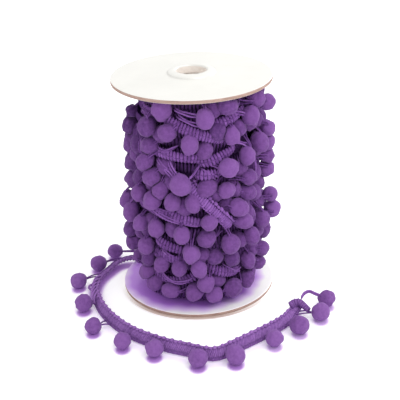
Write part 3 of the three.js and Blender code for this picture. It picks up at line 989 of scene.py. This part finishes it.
def deep_pompoms():
    """Pompoms of the turns underneath, seen in the gaps between the showing ones."""
    shapes = Shapes()
    placed = []
    bands = [run_band(run, side, 14) for run in BRAID_RUNS for side in (0, 1)]
    runs = np.vstack([band.columns[:, :3] for band in bands])
    for _ in range(DEEP_TRIES):
        angle = draw(-180, 180)
        height = draw(TUBE_BOTTOM + DEEP_BELOW, TUBE_TOP - DEEP_ABOVE)
        if angle < DEEP_BARE_ANGLE and height > BARE_HEIGHT:
            continue
        out = winding_radius(height) + DEEP_STAND - side_inset(angle, right=0)
        centre = around(angle, out, height)
        if nearest(centres, centre) < DEEP_TO_SHOWING or nearest(runs, centre) < DEEP_TO_RUN:
            continue
        if placed and nearest(placed, centre) < DEEP_SPACING:
            continue
        placed.append(centre)
        _, right = surface_directions(centre)
        turn = draw(0, ANY_PHASE)
        axis = UP * math.cos(turn) + right * math.sin(turn)
        # The low tone is painted shade for pompoms lying deep in the winding.
        settings = {"long": 1.12, "level": DEEP_DETAIL, "planes": FLANGE_PLANES, "tone": 0.35}
        pompom(shapes, centre, DEEP_RADIUS, axis, **settings)
    shapes.make("deep_pompoms", [felt], "pompom_yarn", "wound_trim")


deep_pompoms()


# The loose end: its middle line from the winding to the cut end, and how the braid is turned about
# it, as in the solids: 270 lies flat with its pompom edge outwards, and 360 stands on that edge.
TAIL = np.array([
    (-22, 25.5, 5.6, 250), (-30, 23, 5.2, 255), (-37.5, 21.8, 4.4, 262), (-44.5, 22, 3.6, 270),
    (-50.5, 18.6, 3, 278), (-55, 11.5, 2.7, 284), (-58.8, 4.5, 2.6, 286), (-61.2, -3, 2.8, 290),
    (-62, -11, 3.1, 300), (-61.3, -19, 3.6, 316), (-59.3, -28, 4, 328), (-56.3, -37, 4.1, 334),
    (-51.8, -46, 4.1, 335), (-45.5, -55.5, 4.1, 335), (-37.5, -64.5, 4.1, 335), (-27.5, -72.2, 4.1, 335),
    (-17, -78.4, 4.1, 335), (-6.5, -83, 4.1, 335), (3, -87.2, 4.1, 335), (10, -87, 4.1, 335),
    (18.5, -81.2, 4.1, 335), (29.5, -73, 4.1, 334), (40.5, -64, 3.9, 328), (48.5, -55, 3.3, 310),
    (53, -46, 2.6, 292), (57, -38.5, 2.4, 285),
], float)
TAIL_STEPS = 12

# Pompoms of the loose end: where each rests, in which row of TAIL its threads are rooted, and its
# size beside the common one.
LYING_RADIUS = 5.2
TAIL_POMPOMS = [
    (-53, 31, 1.2, 0.86), (-62.2, 14.6, 3.6, 0.92), (-72.2, -6.6, 6.2, 0.93),
    (-66.6, -33.2, 10, 1), (-59.2, -57.2, 12.3, 0.88), (-42, -73.2, 13.7, 0.92),
    (-24.5, -82, 15.4, 0.96), (-1.5, -92.2, 17.4, 1), (18.2, -91, 19.3, 0.99),
    (39.8, -75.8, 21.7, 0.92), (54.5, -64.4, 22.8, 0.98), (67.8, -51, 24, 0.95),
    (73.2, -37, 24.9, 0.93),
]
# The middle line of the cut end's fold.
END_FOLD = [(51.5, -43.5, 4.2), (54, -41.5, 5), (57, -41, 5.2), (59.6, -43.6, 4.4), (62, -47, 3.4)]
# Where the last pompom's threads arch from the fold.
END_ARCH = [(58, -40, 7.2), (60, -38.4, 9.4), (63, -37.2, 10), (66, -36.6, 8.2), (70, -36.6, 6.2)]
# How much of its full width the braid keeps, by row of TAIL: it is rolled up narrow where it leaves
# the winding and again at its cut end.
TAIL_WIDTHS = [(0, 0.62), (7, 0.65), (9, 0.8), (11, 1), (22, 1), (24, 0.8), (25, 0.65)]
TAIL_HALF = 4.0
TAIL_SCALLOPS = dict(pitch=2.5, slant=0.3, radius=1.15, rise=0.15, rings=7, sides=10)
TAIL_FACE = dict(pitch=1.1, slant=1.8, radius=0.6, rise=0.25, rings=8)
TAIL_MESH = dict(pitch=1.7, slant=0.9, radius=0.45, rise=0.2, rings=5)
# The seam cord is darker than the ribs on either side: painted shade in the hollow between them.
TAIL_SHADED_SEAM = dict(c=-2.3, h=0.45, radius=0.3, wave=0.2, pitch=2.5, step=0.5, sides=8)
TAIL_EDGE_CORD = dict(h=0.15, radius=0.36, wave=0.2, pitch=3.1, step=0.45, sides=8)
FOLD_RIBS = dict(pitch=1.5, slant=0.4, radius=1.0, rise=1.0, rings=7)
FOLD_END_SHARE = 0.55
# Where the braid is twisted narrow, in rows of TAIL, as three strands round its middle, and the
# slipped loop of thread beside it.
TWIST_ROWS = (6.6, 10.2)
TWIST_RATE = 0.42
STRAND_PHASES = (0, 2.1, 4.2)
STRAND_RADIUS = 0.65
KNOT_PLACE = np.array([-64.2, -12.0, 3.0])
KNOT_LONG = 1.9 * np.array([0.6, 0.8, 0])
KNOT_WIDE = 1.4 * np.array([-0.6, 0.4, 0.7])
KNOT_RADIUS = 0.75
ARCH_THREAD_RADIUS = 0.55
ARCH_APART = 0.55


def tail_band():
    """The loose end's band, along its smoothed middle line and rolled as TAIL says."""
    rows = spline(TAIL, TAIL_STEPS)
    middle = rows[:, :3]
    tangent = unit(np.gradient(middle, axis=0))
    outward = unit(np.cross(tangent, UP))
    upright = np.cross(outward, tangent)
    roll = np.radians(rows[:, 3:])
    across = upright * np.cos(roll) + outward * np.sin(roll)
    face = np.cross(tangent, across)
    row = np.arange(len(rows)) / TAIL_STEPS
    width = np.interp(row, *np.array(TAIL_WIDTHS).T)
    return Band(middle, across * width[:, None], face)


tail = tail_band()


def tail_at(row):
    """How far along the loose end a row of TAIL lies."""
    return np.interp(row, np.arange(len(tail.at)) / TAIL_STEPS, tail.at)


def tail_cloth():
    shapes = Shapes()
    low = -TAIL_HALF + 0.1
    high = TAIL_HALF - 0.4
    ground(shapes, tail, low, high, thickness=0.6, step=1.2, tone=0.6)
    return shapes.make("tail_ground", [painted_lit_gimp], "braid_yarn", "tail_braid")


def end_fold(shapes):
    """The cut end, folded back on itself."""
    fold = spline(END_FOLD, 8)
    tangent = unit(np.gradient(fold, axis=0))
    face = unit(np.cross(tangent, UP + [0, 0.3, 0]))
    across = np.cross(face, tangent) * np.linspace(1, FOLD_END_SHARE, len(fold))[:, None]
    flap = Band(fold, across, face)
    ribs(shapes, flap, from_c=-3.9, to_c=3.1, tone=0.7, **FOLD_RIBS)
    ground(shapes, flap, -2.6, 2.6, thickness=1.0, step=1.0, tone=0.5)


def tail_gimp():
    """The loose end's scallops, slanted face and mesh edge, its twist and knot, and its folded end."""
    shapes = Shapes()
    edge = TAIL_HALF
    ribs(shapes, tail, from_c=edge - 1.9, to_c=edge + 0.2, tone=0.85, **TAIL_SCALLOPS)
    ribs(shapes, tail, from_c=-2.4, to_c=edge - 1.2, tone=0.8, **TAIL_FACE)
    ribs(shapes, tail, from_c=-edge + 0.3, to_c=-2.1, tone=0.7, **TAIL_MESH)
    cord_along(shapes, tail, tone=0.4, **TAIL_SHADED_SEAM)
    for c in (-edge + 0.5, -edge + 1.2):
        cord_along(shapes, tail, c, tone=0.5, **TAIL_EDGE_CORD)
    s = np.linspace(*tail_at(TWIST_ROWS), 70)
    for phase in STRAND_PHASES:
        turn = TWIST_RATE * s + phase
        strand = tail.place(s, 2.6 * np.cos(turn), 0.4 + 1.3 * np.sin(turn))
        thread(shapes, strand, STRAND_RADIUS, sides=8, tone=1.1)
    turn = np.linspace(0, 2 * np.pi, 16)[:, None]
    knot = KNOT_PLACE + np.cos(turn) * KNOT_LONG + np.sin(turn) * KNOT_WIDE
    thread(shapes, knot, KNOT_RADIUS, sides=8, tone=0.8)
    end_fold(shapes)
    shapes.make("tail_gimp", [painted_lit_gimp], "braid_yarn", "tail_braid")


def tail_pompoms():
    """The loose end's pompoms, flat where they rest, and their threads to the braid's edge."""
    threads = Shapes()
    balls = Shapes()
    for x, y, row, size in TAIL_POMPOMS:
        radius = LYING_RADIUS * size
        centre = np.array([x, y, radius * 0.98])
        axis = unit(tail.place(tail_at(row), -TAIL_HALF + 0.5, 0.0) - centre)
        tone = draw(0.5, 0.7)
        settings = {"long": 1.04, "level": LYING_DETAIL, "planes": [(UP * 0.02, -UP)], "tone": tone}
        pompom(balls, centre, radius, axis, **settings)
        for hand in (-1, 1):
            if row == TAIL_POMPOMS[-1][2]:
                arch = np.array(END_ARCH) + UP * ARCH_APART * hand
                thread(threads, spline(arch, 5), ARCH_THREAD_RADIUS, sides=8, tone=0.9)
                continue
            start = tail.place(tail_at(row + 0.22 * hand), -TAIL_HALF + 0.9, 0.3)
            side = unit(np.cross(axis, UP)) * 0.4 * hand
            middle = (start + centre + axis * 5) / 2 + side + UP * 0.5
            line = [start, middle, centre + axis * 5 + side, centre + axis * 2]
            thread(threads, spline(line, 5), THREAD_RADIUS, 8, draw(0.3, 0.6))
    balls.make("tail_pompom_balls", [painted_lit_felt], "pompom_yarn", "tail_pompoms")
    threads.make("tail_threads", [gimp], "pompom_yarn", "tail_pompoms")


cloth = tail_cloth()
tail_gimp()
tail_pompoms()


# Floor, light and backdrop
FLOOR_LEVEL = -0.05
FLOOR_REACH = 3000.0
NEAR_REACH = 125.0
NEAR_ROWS = 220
FLOOR_SHINE = 0.25
# Painted violet reflection and contact shade that the part throws on the floor: an oval under each
# pompom, shifted to the front and fainter on the right, a strip under the braid, fainter where it stands
# on edge, and a painted reflection of the brown rim.
OVAL_SIZE = (5.4, 6.5)
OVAL_SHIFT = -1.8
OVAL_SLOPE = 3
RIGHT_SIDE = 30
RIGHT_SHARE = 0.8
STRIP_WIDTH = 5.5
STRIP_SHIFT = -3
STRIP_SLOPE = 1.9
STANDING_SHARE = 0.2
RIM_GLOW = 2.8
RIM_SHARE = 0.9
# Colour of the painted reflection of the lower card's brown edge.
RIM_REFLECTION_BROWN = linear(188, 162, 150)
# Colours of the painted violet reflection on the floor, and the violet that it shines.
GLOW_PALE = linear(228, 206, 242)
GLOW_VIOLET = linear(166, 122, 194)
GLOW_SHINE = linear(146, 100, 172)


def painted_floor_reflection(places):
    """How much painted reflection of the loose end's colour lies on the floor in front of it."""
    glow = np.zeros(len(places))
    for x, y, _, size in TAIL_POMPOMS:
        across = (places[:, 0] - x) / OVAL_SIZE[0] / size
        back = (places[:, 1] - y - OVAL_SHIFT) / OVAL_SIZE[1] / size
        share = 1.0 if x < RIGHT_SIDE else RIGHT_SHARE
        fade = np.clip(OVAL_SLOPE * (1 - np.hypot(across, back)), 0, 1)
        glow = np.maximum(glow, share * fade)
    near = np.flatnonzero(np.abs(places).max(axis=1) < NEAR_REACH)
    for x, y, _, _ in spline(TAIL, 4):
        share = 1.0 if y > -20 and x < 0 else STANDING_SHARE
        distance = np.hypot(places[near, 0] - x, places[near, 1] - y - STRIP_SHIFT)
        fade = np.clip(STRIP_SLOPE * (1 - distance / STRIP_WIDTH), 0, 1)
        glow[near] = np.maximum(glow[near], share * fade)
    return glow


def painted_rim_reflection(places):
    """A painted reflection of the lower card's brown edge on the floor, in front and a little to the
    left.
    """
    past = np.hypot(places[:, 0], places[:, 1]) - FLANGE_RADIUS
    front = np.clip((-1.6 * places[:, 1] - 0.25 * places[:, 0]) / FLANGE_RADIUS - 0.5, 0, 1)
    return RIM_SHARE * front * np.clip(3 * (1 - past / RIM_GLOW), 0, 1) * (past > -2)


def floor():
    """A wide white floor, in fine squares near the part so that the painted glow can lie on it."""
    near = np.linspace(-NEAR_REACH, NEAR_REACH, NEAR_ROWS)
    x = np.concatenate([[-FLOOR_REACH], near, [FLOOR_REACH]])
    across, back = np.meshgrid(x, x - AXIS[1])
    places = np.stack([across, back, np.full_like(across, FLOOR_LEVEL)], -1).reshape(-1, 3)
    mesh = bpy.data.meshes.new("floor")
    faces = grid_faces(len(x), len(x), close_columns=False)
    mesh.from_pydata(to_metres(places).tolist(), [], faces.tolist())
    paint(mesh, "tone", painted_floor_reflection(places))
    paint(mesh, "brown", painted_rim_reflection(places))
    look = Look("floor", Roughness=0.3, Emission_Strength=FLOOR_SHINE)
    glow = look.attribute("tone")
    brown = look.attribute("brown")
    whites = [(0.3, linear(252, 252, 252)), (0.7, linear(254, 254, 254))]
    with_rim_reflection = look.mix(brown, look.ramp(look.noise(3, detail=2.0), whites), RIM_REFLECTION_BROWN)
    pale = look.mix(look.ramp(glow, TO_PALE), with_rim_reflection, GLOW_PALE)
    look.colour(look.mix(look.ramp(glow, TO_VIOLET), pale, GLOW_VIOLET))
    # The floor shines white, violet under the painted violet reflection and not at all under the painted
    # rim reflection.
    shine = look.mix(glow, look.mix(brown, WHITE, BLACK), GLOW_SHINE)
    look.tree.links.new(shine, look.shader.inputs["Emission Color"])
    mesh.materials.append(look.material)
    made = new_object("floor", mesh)


floor()

WORLD_LIGHT = 0.95
world = bpy.data.worlds.new("world")
world.use_nodes = True
backdrop = world.node_tree.nodes["Background"]
backdrop.inputs["Color"].default_value = WHITE
backdrop.inputs["Strength"].default_value = WORLD_LIGHT
bpy.context.scene.world = world


def lamp(name, place, aim, size, power):
    """A soft square lamp at a place, turned to what it aims at."""
    light = bpy.data.lights.new(name, "AREA")
    light.energy = power
    light.size = size * MM
    made = new_object(name, light)
    place, aim = to_metres([place, aim])
    back = -unit(aim - place)
    side = unit(np.cross(UP, back))
    turned_to = Matrix(np.column_stack([side, np.cross(back, side), back]).tolist())
    made.matrix_world = Matrix.Translation(place) @ turned_to.to_4x4()


lamp("key", place=(430, -330, 850), aim=(0, 0, 30), size=700, power=3.4)
lamp("back", place=(350, 380, 320), aim=(35, 0, 0), size=300, power=0.9)

bpy.context.scene.view_settings.view_transform = "Standard"
